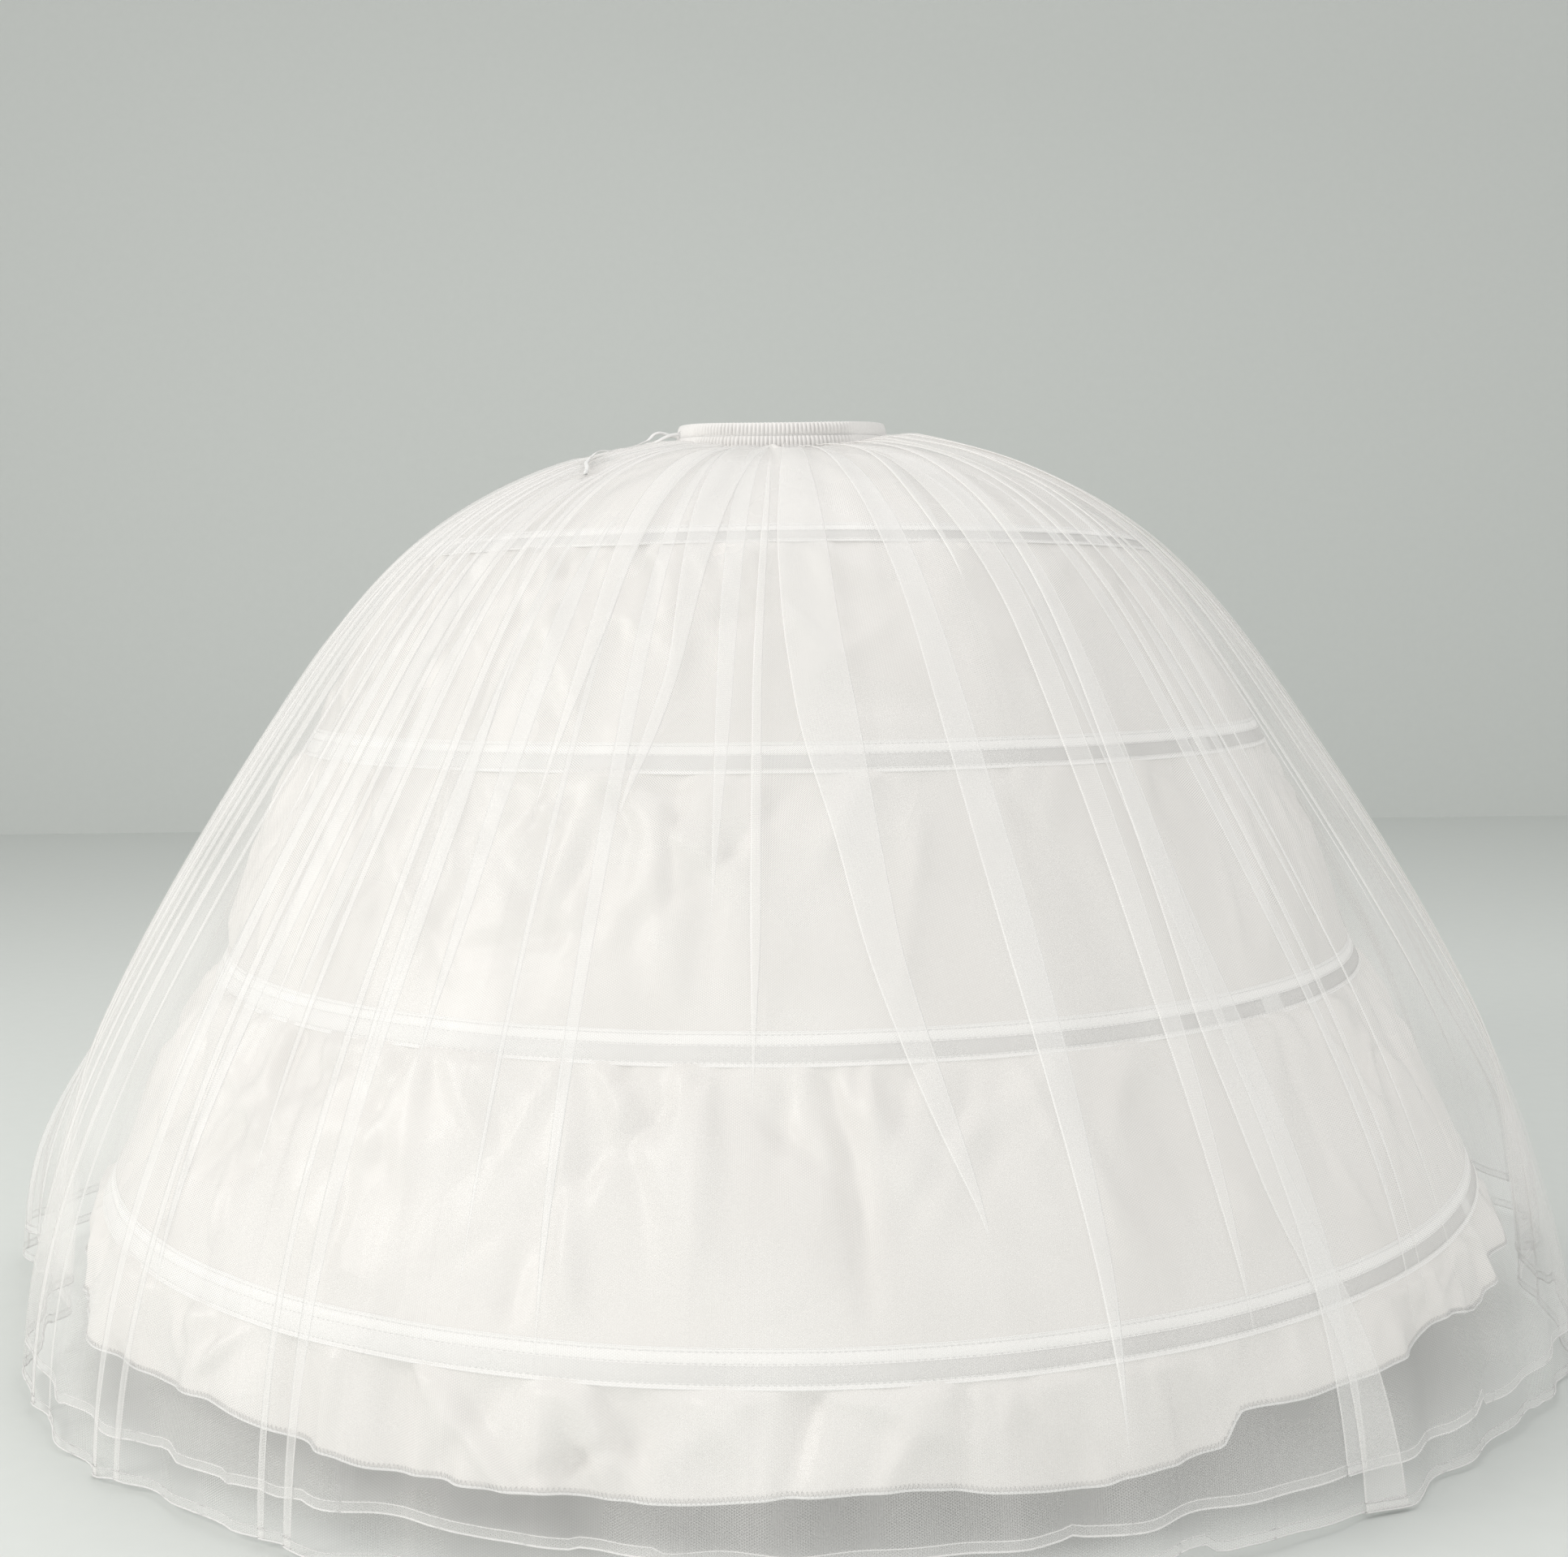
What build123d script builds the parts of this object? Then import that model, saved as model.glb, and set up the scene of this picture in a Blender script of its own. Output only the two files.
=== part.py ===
"""Hooped crinoline petticoat: a satin lining on four steel hoops, under two layers of tulle.

The frame's origin is the centre of the waist opening, level with the waistband's top edge.
+Z is up and the wearer's front faces -Y. Sizes are in millimetres, with the skirt as worn.
"""
from build123d import *
from math import atan2, cos, degrees, hypot, pi, radians, sin, tan
import os

os.makedirs("parts", exist_ok=True)

# Clearances
seam_gap = 0.3  # between two cloth edges that are sewn together
slip_gap = 0.15  # between a bone and the parts that hold it

# Waistband: a folded satin strip with two channels, one above the other
waist_radius = 108.0
waistband_wall = 0.8
waistband_flare = 5.0  # how much further out the band's lower edge stands
elastic_height = 8.0
elastic_thickness = 2.0
channel_height_ease = 0.5  # above and below the elastic
channel_depth_ease = 1.0
channel_margin = 2.5  # cloth above the upper channel and below the lower one
stitch_row_height = 4.0  # cloth between the channels

# Drawstring: a flat tape in the upper channel, with two free ends at the wearer's right
drawstring_width = 4.0
drawstring_thickness = 1.2
drawstring_exit_angles = (185.0, 197.0)  # about +Z from +X, back exit and front exit
eyelet_ease = 0.5

# Routes of the two free ends, from the eyelets. Each end crosses over to the other one's side,
# in the loose half knot that ties them, and then lies on the shoulder of the skirt.
front_end_route = (
    (-110.2, -9.6, -7.0),
    (-119.0, -10.4, -7.0),
    (-126.5, -12.5, -4.5),
    (-133.0, -16.5, -3.2),
    (-138.5, -22.0, -6.0),
    (-141.5, -28.0, -10.5),
    (-144.0, -34.5, -14.0),
    (-147.5, -41.0, -16.0),
    (-153.0, -47.5, -19.5),
    (-161.0, -52.5, -23.0),
    (-171.0, -56.0, -25.5),
    (-181.5, -57.5, -27.2),
    (-190.5, -57.5, -26.0),
    (-197.5, -60.5, -28.5),
    (-201.5, -68.0, -34.0),
    (-203.0, -79.0, -36.0),
    (-202.0, -94.0, -37.5),
    (-199.0, -112.0, -39.5),
    (-197.5, -131.0, -42.6),
    (-198.0, -150.0, -46.8),
    (-196.5, -169.0, -50.8),
    (-193.5, -187.5, -54.9),
    (-192.0, -206.0, -60.2),
    (-191.5, -223.0, -65.9),
)
back_end_route = (
    (-105.8, -32.3, -7.0),
    (-114.6, -35.0, -7.5),
    (-123.0, -38.5, -10.0),
    (-131.0, -41.5, -14.5),
    (-138.5, -41.5, -18.5),
    (-145.5, -37.5, -20.2),
    (-150.5, -30.5, -20.6),
    (-155.0, -22.0, -21.0),
    (-161.0, -13.5, -22.0),
    (-169.5, -6.0, -23.7),
    (-179.5, 0.5, -25.9),
    (-190.0, 8.0, -28.5),
    (-200.0, 18.0, -31.3),
    (-208.5, 30.0, -34.2),
    (-216.0, 43.5, -37.1),
    (-224.5, 56.0, -40.8),
    (-235.0, 66.5, -45.3),
    (-247.5, 74.5, -50.5),
    (-261.0, 80.0, -56.5),
    (-274.0, 84.5, -62.4),
)

# Hoops, from the top one down
hoop_radii = (387.0, 503.0, 593.0, 700.0)
hoop_spacings = (137.0, 193.0, 220.0, 206.0)  # below the waistband's top edge or the last hoop
bone_width = 11.0
bone_thickness = 1.1
bone_end_gap = 1.0
connector_length = 30.0
connector_wall = 0.45
connector_angles = (-40.0, -41.0, -45.0, -28.0)  # about +Z from +X

# Casings: a tape round each hoop, with the bone in its lower half
casing_width = 24.0
casing_wall = 0.6

# Lining
lining_thickness = 1.0
yoke_bulge = 16.0
tier_bulge = 5.0
flounce_depth = 86.0  # below the bottom hoop
flounce_flare = 20.0
lining_seat_rise = 2.0  # where the yoke meets the waistband's flank, above its lower edge

# Tulle skirts
tulle_thickness = 0.8
tulle_layer_gap = 1.6
tulle_seat_rises = (4.8, 8.0)  # inner and outer skirt on the flank, above its lower edge
tulle_shoulder_bulge = 20.0
tulle_standoffs = (3.0, 34.0, 71.0, 52.0)  # clear of the four casings
tulle_hem_flare = 50.0  # wider than the lining's hem
tulle_hem_depths = (26.0, 42.0)  # below the lining's hem


def publish(block, name):
    """Label a finished piece and write its file."""
    block.part.label = name
    export_step(block.part, f"parts/{name}.step")


channel_height = elastic_height + 2 * channel_height_ease
channel_depth = elastic_thickness + channel_depth_ease
waistband_height = 2 * (channel_margin + channel_height) + stitch_row_height


def flank_radius(drop):
    """Radius of the waistband's outer face at a drop below its top edge."""
    top = waist_radius + channel_depth + 2 * waistband_wall
    return top + waistband_flare * drop / waistband_height


def toward(start, end):
    """Unit vector from one section point to another."""
    length = hypot(end[0] - start[0], end[1] - start[1])
    return ((end[0] - start[0]) / length, (end[1] - start[1]) / length)


def along(point, direction, distance):
    """Section point moved along a unit vector."""
    return (point[0] + direction[0] * distance, point[1] + direction[1] * distance)


def outward(direction):
    """Unit vector square to a downward slope, pointing out of the skirt."""
    return (-direction[1], direction[0])


def bulged(start, end, bulge):
    """Point halfway between two others, pushed out of the skirt."""
    direction = toward(start, end)
    middle = along(start, direction, hypot(end[0] - start[0], end[1] - start[1]) / 2)
    return along(middle, outward(direction), bulge)


def shifted(points, distance):
    """The same outline, moved out of the skirt by a distance square to itself."""
    moved = []
    for index, point in enumerate(points):
        before = points[max(index - 1, 0)]
        after = points[min(index + 1, len(points) - 1)]
        moved.append(along(point, outward(toward(before, after)), distance))
    return moved


def cloth_section(points, thickness):
    """Closed section of a cloth layer whose inner face follows the points."""
    outer = shifted(points, thickness)
    with BuildSketch(Plane.XZ) as section:
        with BuildLine():
            if len(points) == 2:
                Polyline(points[0], points[1], outer[1], outer[0], close=True)
            else:
                Spline(*points)
                Line(points[-1], outer[-1])
                Spline(*reversed(outer))
                Line(outer[0], points[0])
        make_face()
    return section.sketch


hoop_count = len(hoop_radii)
hoop_points = [(hoop_radii[i], -sum(hoop_spacings[: i + 1])) for i in range(hoop_count)]
lining_seat_drop = waistband_height - lining_seat_rise
waist_seat = (flank_radius(lining_seat_drop) + seam_gap, -lining_seat_drop)
lining_hem = (hoop_radii[-1] + flounce_flare, -sum(hoop_spacings) - flounce_depth)

# Slope of the skirt at each hoop: the mean of the slopes above and below it
slope_stops = [waist_seat] + hoop_points + [lining_hem]
hoop_slopes = [toward(slope_stops[i], slope_stops[i + 2]) for i in range(hoop_count)]

# The channel holds the connector, which is the widest thing in it
connector_width = bone_width + 2 * slip_gap + 2 * connector_wall
connector_thickness = bone_thickness + 2 * slip_gap + 2 * connector_wall
casing_channel_width = connector_width + 2 * slip_gap
casing_channel_depth = connector_thickness + 2 * slip_gap
casing_thickness = casing_channel_depth + 2 * casing_wall
casing_rise = casing_width / 2 - casing_wall - casing_channel_width / 2
casing_points = [along(hoop_points[i], hoop_slopes[i], -casing_rise) for i in range(hoop_count)]


# ---------------------------------------------------------------- waistband
channel_inner = waist_radius + waistband_wall
upper_channel_middle = -(channel_margin + channel_height / 2)
lower_channel_middle = -(waistband_height - channel_margin - channel_height / 2)

with BuildPart() as waistband_casing:
    with BuildSketch(Plane.XZ):
        with BuildLine():
            Polyline(
                (waist_radius, 0),
                (flank_radius(0), 0),
                (flank_radius(waistband_height), -waistband_height),
                (waist_radius, -waistband_height),
                close=True,
            )
        make_face()
        with Locations(
            (channel_inner + channel_depth / 2, upper_channel_middle),
            (channel_inner + channel_depth / 2, lower_channel_middle),
        ):
            Rectangle(channel_depth, channel_height, mode=Mode.SUBTRACT)
    revolve(axis=Axis.Z)
    # Two eyelets, through the outer wall only, let the drawstring out
    for angle in drawstring_exit_angles:
        eyelet_plane = Plane(
            origin=(
                (channel_inner + channel_depth / 2) * cos(radians(angle)),
                (channel_inner + channel_depth / 2) * sin(radians(angle)),
                upper_channel_middle,
            ),
            z_dir=(cos(radians(angle)), sin(radians(angle)), 0),
        )
        with BuildSketch(eyelet_plane):
            Circle(drawstring_width / 2 + eyelet_ease)
        extrude(amount=channel_depth + waistband_flare, mode=Mode.SUBTRACT)
publish(waistband_casing, "waistband_casing")

with BuildPart() as waist_elastic:
    with BuildSketch(Plane.XZ):
        with Locations((channel_inner + slip_gap + elastic_thickness / 2, lower_channel_middle)):
            Rectangle(elastic_thickness, elastic_height)
    revolve(axis=Axis.Z)
publish(waist_elastic, "waist_elastic")

# The held length of the drawstring runs the long way round, from one eyelet to the other
drawstring_radius = channel_inner + slip_gap + drawstring_thickness / 2
drawstring_sweep = 360 - (drawstring_exit_angles[1] - drawstring_exit_angles[0])

with BuildPart() as drawstring:
    with BuildSketch(Plane.XZ.rotated((0, 0, drawstring_exit_angles[1]))):
        with Locations((drawstring_radius, upper_channel_middle)):
            Rectangle(drawstring_thickness, drawstring_width)
    revolve(axis=Axis.Z, revolution_arc=drawstring_sweep)
publish(drawstring, "drawstring")


def fold_radii(route):
    """Radius of each rounded corner of a route, as large as its two runs allow."""
    points = [Vector(*point) for point in route]
    runs = [points[i + 1] - points[i] for i in range(len(points) - 1)]
    radii = []
    for before, after in zip(runs, runs[1:]):
        half_turn = radians(before.get_angle(after)) / 2
        radii.append(0.45 * min(before.length, after.length) / tan(half_turn))
    return radii


for name, route in (
    ("drawstring_front_end", front_end_route),
    ("drawstring_back_end", back_end_route),
):
    radii = fold_radii(route)
    print(name, "radii", [round(radius, 1) for radius in radii])
    with BuildPart() as free_end:
        with BuildLine():
            free_line = FilletPolyline(*route, radius=radii)
        with BuildSketch(Plane(origin=route[0], z_dir=free_line % 0)):
            Circle(drawstring_width / 2)
        sweep(path=free_line)
    straight_volume = pi * drawstring_width**2 / 4 * free_line.length
    print(name, "length", round(free_line.length, 1))
    print(name, "share of section times length", round(free_end.part.volume / straight_volume, 4))
    publish(free_end, name)


# ---------------------------------------------------------------- hoops and casings
for index in range(hoop_count):
    number = index + 1
    slope_angle = degrees(atan2(hoop_slopes[index][1], hoop_slopes[index][0]))
    connector_sweep = degrees(connector_length / hoop_radii[index])
    bone_gap_sweep = degrees(bone_end_gap / hoop_radii[index])
    joint_angle = connector_angles[index]

    with BuildPart() as hoop_casing:
        with BuildSketch(Plane.XZ):
            with Locations(casing_points[index]):
                Rectangle(casing_width, casing_thickness, rotation=slope_angle)
            with Locations(hoop_points[index]):
                Rectangle(
                    casing_channel_width,
                    casing_channel_depth,
                    rotation=slope_angle,
                    mode=Mode.SUBTRACT,
                )
        revolve(axis=Axis.Z)
    publish(hoop_casing, f"hoop_casing_{number}")

    # The strip is one turn of flat spring steel, whose ends meet inside the connector
    with BuildPart() as hoop_bone:
        with BuildSketch(Plane.XZ.rotated((0, 0, joint_angle + bone_gap_sweep / 2))):
            with Locations(hoop_points[index]):
                Rectangle(bone_width, bone_thickness, rotation=slope_angle)
        revolve(axis=Axis.Z, revolution_arc=360 - bone_gap_sweep)
    publish(hoop_bone, f"hoop_bone_{number}")

    with BuildPart() as hoop_connector:
        with BuildSketch(Plane.XZ.rotated((0, 0, joint_angle - connector_sweep / 2))):
            with Locations(hoop_points[index]):
                Rectangle(connector_width, connector_thickness, rotation=slope_angle)
                Rectangle(
                    bone_width + 2 * slip_gap,
                    bone_thickness + 2 * slip_gap,
                    rotation=slope_angle,
                    mode=Mode.SUBTRACT,
                )
        revolve(axis=Axis.Z, revolution_arc=connector_sweep)
    publish(hoop_connector, f"hoop_connector_{number}")


# ---------------------------------------------------------------- lining
half_reach = casing_width / 2 + seam_gap
upper_edges = [along(casing_points[i], hoop_slopes[i], -half_reach) for i in range(hoop_count)]
lower_edges = [along(casing_points[i], hoop_slopes[i], half_reach) for i in range(hoop_count)]

lining_lines = [
    ("lining_yoke", [waist_seat, bulged(waist_seat, upper_edges[0], yoke_bulge), upper_edges[0]])
]
for index in range(1, hoop_count):
    top = lower_edges[index - 1]
    bottom = upper_edges[index]
    lining_lines.append((f"lining_tier_{index + 1}", [top, bulged(top, bottom, tier_bulge), bottom]))
lining_lines.append(("lining_flounce", [lower_edges[-1], lining_hem]))

for name, line in lining_lines:
    lining_line = shifted(line, -lining_thickness / 2)
    with BuildPart() as lining_piece:
        add(cloth_section(lining_line, lining_thickness))
        revolve(axis=Axis.Z)
    publish(lining_piece, name)


# ---------------------------------------------------------------- tulle
for layer, name in enumerate(("tulle_inner", "tulle_outer")):
    seat_drop = waistband_height - tulle_seat_rises[layer]
    seat = (flank_radius(seat_drop) + seam_gap, -seat_drop)
    lift = casing_thickness / 2 + layer * (tulle_thickness + tulle_layer_gap)
    over_hoops = [
        along(casing_points[i], outward(hoop_slopes[i]), lift + tulle_standoffs[i])
        for i in range(hoop_count)
    ]
    shoulder = bulged(seat, over_hoops[0], tulle_shoulder_bulge)
    hem_radius = lining_hem[0] + tulle_hem_flare + layer * (tulle_thickness + tulle_layer_gap)
    hem = (hem_radius, lining_hem[1] - tulle_hem_depths[layer])
    with BuildPart() as tulle_skirt:
        add(cloth_section([seat, shoulder, *over_hoops, hem], tulle_thickness))
        revolve(axis=Axis.Z)
    publish(tulle_skirt, name)
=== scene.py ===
"""Looks of the hooped crinoline petticoat: satin lining on four hoops, under two tulle skirts.

Metres throughout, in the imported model's frame: +Z up, the wearer's front faces -Y, and an
azimuth is measured from the front towards +X, in degrees. A drop is a distance below the
waistband's top edge.
"""
import bpy
import math
import numpy as np
from mathutils import Matrix, Vector


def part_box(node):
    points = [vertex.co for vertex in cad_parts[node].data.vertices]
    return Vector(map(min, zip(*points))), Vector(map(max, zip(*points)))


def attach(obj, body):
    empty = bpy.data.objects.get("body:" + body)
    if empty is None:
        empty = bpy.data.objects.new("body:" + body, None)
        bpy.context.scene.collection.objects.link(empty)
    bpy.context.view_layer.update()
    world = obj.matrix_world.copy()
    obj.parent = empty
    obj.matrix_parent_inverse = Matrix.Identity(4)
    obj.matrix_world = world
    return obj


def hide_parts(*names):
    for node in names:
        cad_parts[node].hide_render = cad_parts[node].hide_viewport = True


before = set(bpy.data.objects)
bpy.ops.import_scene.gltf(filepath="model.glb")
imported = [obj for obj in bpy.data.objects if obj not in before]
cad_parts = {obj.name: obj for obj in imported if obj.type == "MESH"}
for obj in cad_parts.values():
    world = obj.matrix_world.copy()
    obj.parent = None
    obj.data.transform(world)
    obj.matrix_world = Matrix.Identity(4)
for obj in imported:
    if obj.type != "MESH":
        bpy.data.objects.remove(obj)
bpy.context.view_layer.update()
scene = bpy.context.scene

# ------------------------------------------------------------------ camera
camera_data = bpy.data.cameras.new("camera")
camera_data.lens = 42.6
camera_data.sensor_width = 36.0
camera_data.shift_y = -0.090
camera = bpy.data.objects.new("camera", camera_data)
scene.collection.objects.link(camera)
camera.matrix_world = (
    Matrix.Translation((0.0, -2.030, -0.227))
    @ Matrix.Rotation(math.radians(90), 4, "X")
    @ Matrix.Rotation(math.radians(-0.7), 4, "Z")
)
scene.camera = camera


# ------------------------------------------------------------------ node helpers
def new_material(name):
    """An empty material, with its node tree and output node."""
    material = bpy.data.materials.new(name)
    material.use_nodes = True
    tree = material.node_tree
    tree.nodes.clear()
    return material, tree, tree.nodes.new("ShaderNodeOutputMaterial")


def put(tree, socket, value):
    """Link another node's output to a socket, or set the socket's own value."""
    if isinstance(value, bpy.types.NodeSocket):
        tree.links.new(value, socket)
    else:
        socket.default_value = value


def node(tree, kind, inputs=None, **settings):
    """A node with its settings and inputs, where an input is a value or another output."""
    made = tree.nodes.new(kind)
    for name, value in settings.items():
        setattr(made, name, value)
    for name, value in (inputs or {}).items():
        put(tree, made.inputs[name], value)
    return made


def sums(tree, operation, a, b=0.0, clamp=False):
    """One step of arithmetic."""
    return node(tree, "ShaderNodeMath", {0: a, 1: b}, operation=operation, use_clamp=clamp).outputs[0]


def scaled(tree, value, low, high, to_low, to_high):
    """A value carried from one range to another, held within it."""
    inputs = {"Value": value, "From Min": low, "From Max": high, "To Min": to_low, "To Max": to_high}
    return node(tree, "ShaderNodeMapRange", inputs).outputs[0]


def blended(tree, share, first, second):
    """Two colours mixed by a share."""
    mix = node(tree, "ShaderNodeMix", data_type="RGBA")
    put(tree, mix.inputs[0], share)
    put(tree, mix.inputs[6], first)
    put(tree, mix.inputs[7], second)
    return mix.outputs[2]


def noise(tree, where, scale, detail=3.0, rough=0.55, distortion=0.0):
    """Fractal noise, 0 to 1."""
    inputs = {
        "Vector": where, "Scale": scale, "Detail": detail, "Roughness": rough, "Distortion": distortion}
    return node(tree, "ShaderNodeTexNoise", inputs).outputs[0]


def noise_colour(tree, where, scale):
    """Three noises at once, as a vector."""
    inputs = {"Vector": where, "Scale": scale, "Detail": 2.0}
    return node(tree, "ShaderNodeTexNoise", inputs).outputs["Color"]


def bumped(tree, height, distance, strength=1.0, under=None):
    """A normal tilted by a height, on top of another normal."""
    inputs = {"Height": height, "Distance": distance, "Strength": strength}
    if under is not None:
        inputs["Normal"] = under
    return node(tree, "ShaderNodeBump", inputs).outputs[0]


def cloth_uv(tree):
    """The cloth's own coordinates in metres: along the hem, and down from the waist."""
    split = node(tree, "ShaderNodeSeparateXYZ", {0: node(tree, "ShaderNodeTexCoord").outputs["UV"]})
    return split.outputs[0], split.outputs[1]


def wave(tree, value, pitch):
    """A sine along a length, whose period is the pitch."""
    return sums(tree, "SINE", sums(tree, "MULTIPLY", value, 2 * math.pi / pitch))


def satin(name, colour, shade, rough, wrinkle, crumple=0.0, clear=None):
    """Woven satin: fine floats across the warp, a soft sheen, and shallow creases.

    wrinkle and crumple are the depths of its soft and its sharp creases. clear is the cover at the wearer's
    right and left where it is one thin layer over a bone, which the mesh marks.
    The cover thins from the wearer's right, towards the key light, to the left, away from it, so the dark
    bone shows through more there: painted shade.
    """
    material, tree, out = new_material(name)
    place = node(tree, "ShaderNodeTexCoord").outputs["Object"]
    along_cloth, down_cloth = cloth_uv(tree)
    cloudy = noise(tree, place, 5.0, 4.0)
    crease = noise(tree, place, 21.0, 4.0, 0.5, 1.2)
    slub = noise(tree, place, 340.0, 2.0)
    weave = sums(tree, "MULTIPLY", wave(tree, along_cloth, 0.0011), wave(tree, down_cloth, 0.0007))
    tint = blended(tree, scaled(tree, cloudy, 0.32, 0.68, 0.0, 1.0), colour, shade)
    tint = blended(tree, scaled(tree, slub, 0.3, 0.8, 0.0, 0.12), tint, (0.97, 0.97, 0.96, 1.0))
    normal = bumped(tree, crease, wrinkle, 0.8)
    if crumple:
        drift = node(
            tree, "ShaderNodeVectorMath", {0: noise_colour(tree, place, 6.0), "Scale": 0.16},
            operation="SCALE").outputs[0]
        warped = node(tree, "ShaderNodeVectorMath", {0: place, 1: drift}, operation="ADD").outputs[0]
        cells = node(tree, "ShaderNodeTexVoronoi", {"Vector": warped, "Scale": 8.5}, feature="F1")
        facets = cells.outputs["Distance"]
        patches = scaled(tree, noise(tree, place, 3.2, 2.0), 0.44, 0.62, 0.0, 1.0)
        normal = bumped(tree, sums(tree, "MULTIPLY", facets, patches), crumple, 1.0, normal)
    normal = bumped(tree, weave, 0.00005, 0.5, normal)
    inputs = {
        "Base Color": tint,
        "Roughness": scaled(tree, cloudy, 0.3, 0.7, rough - 0.05, rough + 0.1),
        "Normal": normal,
        "Specular IOR Level": 0.5,
        "Anisotropic": 0.35,
        "Sheen Weight": 0.22,
        "Sheen Roughness": 0.4,
    }
    if clear:
        across = node(tree, "ShaderNodeSeparateXYZ", {0: place}).outputs[0]
        thin = node(tree, "ShaderNodeAttribute", attribute_name="edge").outputs["Fac"]
        # Cover thinner towards +X, the side away from the key light, so the bone shows darker there: painted
        # shade
        shade_side_show_through = scaled(tree, across, -0.35, 0.35, 1 - clear[0], 1 - clear[1])
        inputs["Alpha"] = sums(tree, "SUBTRACT", 1.0, sums(tree, "MULTIPLY", thin, shade_side_show_through))
    cloth = node(tree, "ShaderNodeBsdfPrincipled", inputs)
    tree.links.new(cloth.outputs[0], out.inputs["Surface"])
    return material


def tulle(name, colour, painted_edge_highlight, open_alpha, thread_alpha):
    """Stiff hexagonal net. The mesh's edge value marks its creases and its rolled hem, where the net is
    denser and its colour brighter: a painted highlight.
    """
    material, tree, out = new_material(name)
    place = node(tree, "ShaderNodeTexCoord").outputs["Object"]
    along_cloth, down_cloth = cloth_uv(tree)
    pitch = 0.0017
    lean = sums(tree, "MULTIPLY", along_cloth, 0.5)
    rise = sums(tree, "MULTIPLY", down_cloth, 0.866)
    first = wave(tree, along_cloth, pitch)
    second = wave(tree, sums(tree, "ADD", lean, rise), pitch)
    third = wave(tree, sums(tree, "SUBTRACT", lean, rise), pitch)
    cell = sums(tree, "ADD", sums(tree, "ADD", first, second), third)
    thread = scaled(tree, cell, -0.6, 1.6, 1.0, 0.0)
    uneven = noise(tree, place, 9.0, 1.0)
    edge = node(tree, "ShaderNodeAttribute", attribute_name="edge").outputs["Fac"]
    alpha = scaled(tree, thread, 0.0, 1.0, open_alpha, thread_alpha)
    alpha = sums(tree, "MULTIPLY", alpha, scaled(tree, uneven, 0.3, 0.7, 0.85, 1.15))
    alpha = sums(tree, "ADD", alpha, sums(tree, "MULTIPLY", edge, 0.7), clamp=True)
    # The brighter colour at the creases and the hem is a painted highlight; the added alpha is the denser
    # net there
    tint = blended(tree, edge, colour, painted_edge_highlight)
    inputs = {
        "Base Color": tint,
        "Roughness": scaled(tree, uneven, 0.3, 0.7, 0.42, 0.6),
        "Specular IOR Level": 0.4,
        "Sheen Weight": 0.15,
        "Alpha": alpha,
    }
    net = node(tree, "ShaderNodeBsdfPrincipled", inputs)
    tree.links.new(net.outputs[0], out.inputs["Surface"])
    return material


def spun(name, colour, rough, pitch, clear=1.0):
    """Thread, tape or braid: a fine diagonal twist along its length."""
    material, tree, out = new_material(name)
    place = node(tree, "ShaderNodeTexCoord").outputs["Object"]
    parts = node(tree, "ShaderNodeSeparateXYZ", {0: place})
    lean = sums(tree, "ADD", parts.outputs[0], sums(tree, "ADD", parts.outputs[1], parts.outputs[2]))
    cross = sums(tree, "SUBTRACT", parts.outputs[2], sums(tree, "MULTIPLY", parts.outputs[0], 0.6))
    twist = sums(tree, "MULTIPLY", wave(tree, lean, pitch), wave(tree, cross, pitch))
    fuzz = noise(tree, place, 900.0, 2.0)
    inputs = {
        "Base Color": blended(tree, fuzz, colour, tuple(0.86 * c for c in colour[:3]) + (1.0,)),
        "Roughness": scaled(tree, fuzz, 0.2, 0.8, rough - 0.06, rough + 0.1),
        "Normal": bumped(tree, sums(tree, "ADD", twist, fuzz), 0.00012, 0.7),
        "Sheen Weight": 0.2,
        "Alpha": clear,
    }
    thread = node(tree, "ShaderNodeBsdfPrincipled", inputs)
    tree.links.new(thread.outputs[0], out.inputs["Surface"])
    return material


def steel(name):
    """Flat spring steel, drawn lengthways, with the grey of its finish a little uneven."""
    material, tree, out = new_material(name)
    place = node(tree, "ShaderNodeTexCoord").outputs["Object"]
    parts = node(tree, "ShaderNodeSeparateXYZ", {0: place})
    height = node(tree, "ShaderNodeCombineXYZ", {2: parts.outputs[2]}).outputs[0]
    streaks = noise(tree, height, 2600.0, 3.0)
    spots = noise(tree, place, 60.0, 4.0)
    inputs = {
        "Base Color": blended(tree, spots, (0.50, 0.485, 0.47, 1.0), (0.62, 0.605, 0.59, 1.0)),
        "Metallic": 0.5,
        "Roughness": scaled(tree, streaks, 0.3, 0.7, 0.48, 0.62),
        "Normal": bumped(tree, streaks, 0.00004, 0.5),
    }
    metal = node(tree, "ShaderNodeBsdfPrincipled", inputs)
    tree.links.new(metal.outputs[0], out.inputs["Surface"])
    return material


def moulded(name, colour):
    """Moulded plastic with a faint grain."""
    material, tree, out = new_material(name)
    place = node(tree, "ShaderNodeTexCoord").outputs["Object"]
    grain = noise(tree, place, 700.0, 3.0)
    inputs = {
        "Base Color": blended(tree, grain, colour, tuple(0.93 * c for c in colour[:3]) + (1.0,)),
        "Roughness": scaled(tree, grain, 0.3, 0.7, 0.42, 0.55),
        "Normal": bumped(tree, grain, 0.00005, 0.4),
    }
    plastic = node(tree, "ShaderNodeBsdfPrincipled", inputs)
    tree.links.new(plastic.outputs[0], out.inputs["Surface"])
    return material


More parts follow.
